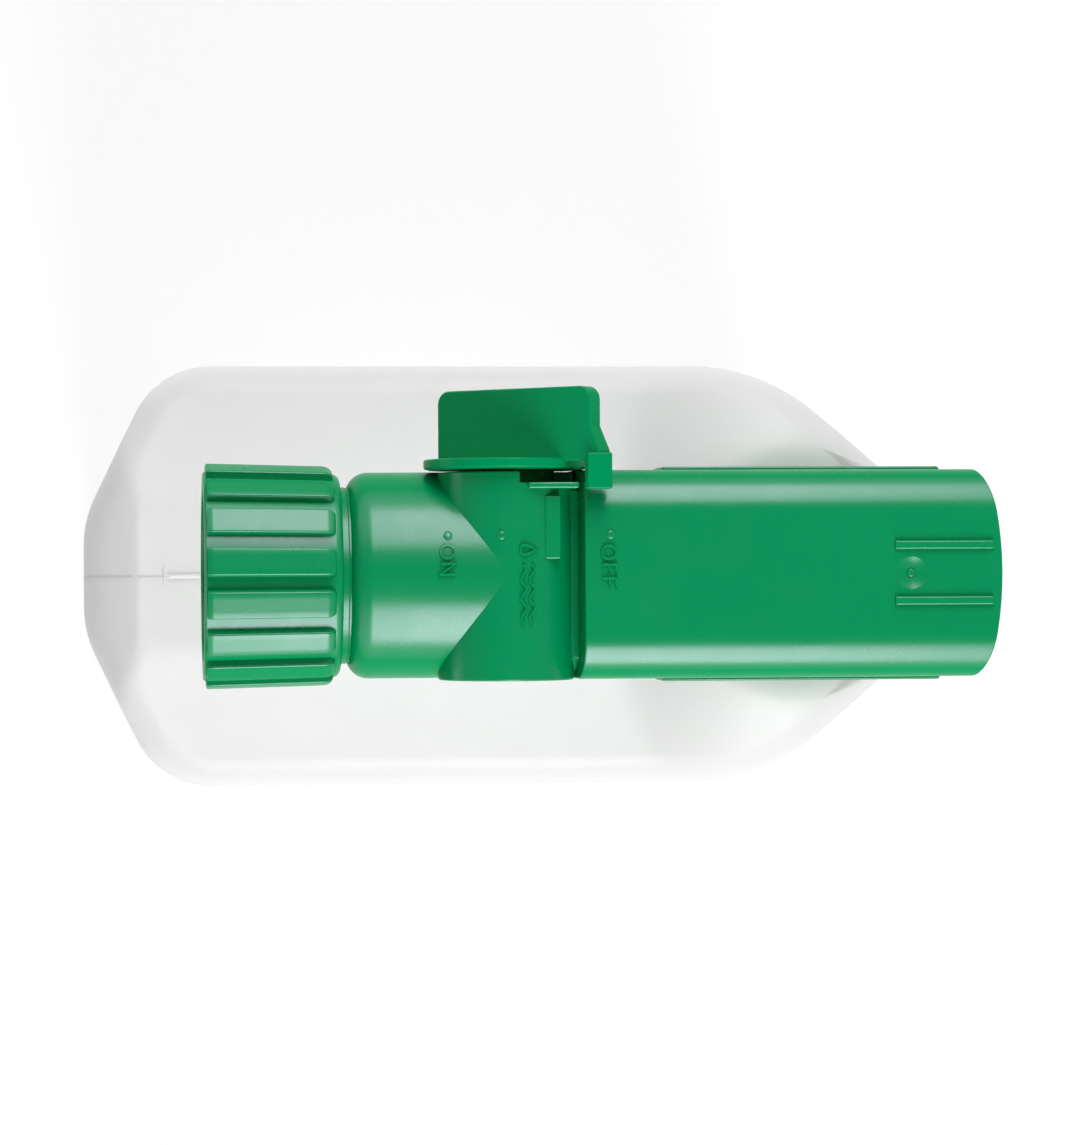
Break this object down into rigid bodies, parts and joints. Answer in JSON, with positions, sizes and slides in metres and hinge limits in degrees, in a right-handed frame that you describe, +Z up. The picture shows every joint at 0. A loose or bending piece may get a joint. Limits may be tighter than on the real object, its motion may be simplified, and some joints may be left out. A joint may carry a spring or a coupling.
{
  "type": "hose-end sprayer bottle",
  "caption": "White moulded plastic bottle with a green hose-end spray head: ribbed swivel hose nut, side knob valve, long nozzle shroud, dip tube and backflow preventer inside.",
  "frame": {"origin": "on the ground under the middle of the bottle (centre of the bounding box's bottom)", "axes": "+X the way the spray leaves, +Y towards the valve knob, +Z up"},
  "size_m": [0.15, 0.075, 0.2365],
  "materials": {
    "bottle_hdpe": "satin blow-moulded HDPE",
    "head_pp": "injection-moulded polypropylene, semi-gloss",
    "seal_rubber": "moulded EPDM rubber",
    "natural_plastic": "natural acetal and polyethylene",
    "ball_steel": "polished stainless steel"
  },
  "bodies": {
    "head_and_bottle": {"bottle": "bottle_hdpe", "sprayer_body": "head_pp", "inlet_stem": "head_pp", "diaphragm_cage": "natural_plastic", "valve_seat": "seal_rubber", "jet_insert": "natural_plastic", "mixing_tube": "natural_plastic", "spray_tip": "head_pp", "neck_gasket": "seal_rubber", "suction_adapter": "natural_plastic", "ball_retainer": "natural_plastic", "dip_tube": "natural_plastic", "tube_strainer": "natural_plastic"},
    "valve": {"valve_knob": "head_pp", "valve_plug": "natural_plastic", "plug_ring_inner": "seal_rubber", "plug_ring_outer": "seal_rubber"},
    "coupling": {"hose_nut": "head_pp", "hose_washer": "seal_rubber", "filter_screen": "natural_plastic"},
    "ball": {"check_ball": "ball_steel"},
    "diaphragm": {"backflow_diaphragm": "seal_rubber"}
  },
  "joints": [
    {"name": "valve_turn", "type": "hinge", "parent": "head_and_bottle", "child": "valve", "pos_m": [-0.0062, 0, 0.22086], "axis": [0, -1, 0], "range_deg": [0, 90]},
    {"name": "nut_swivel", "type": "hinge", "parent": "head_and_bottle", "child": "coupling", "pos_m": [-0.044, 0, 0.215], "axis": [1, 0, 0], "continuous": true},
    {"name": "ball_lift", "type": "slide", "parent": "head_and_bottle", "child": "ball", "axis": [0, 0, 1], "range_m": [0, 0.0015]},
    {"name": "diaphragm_lift", "type": "slide", "parent": "head_and_bottle", "child": "diaphragm", "axis": [1, 0, 0], "range_m": [0, 0.0014], "stiffness_N_per_m": 20}
  ]
}
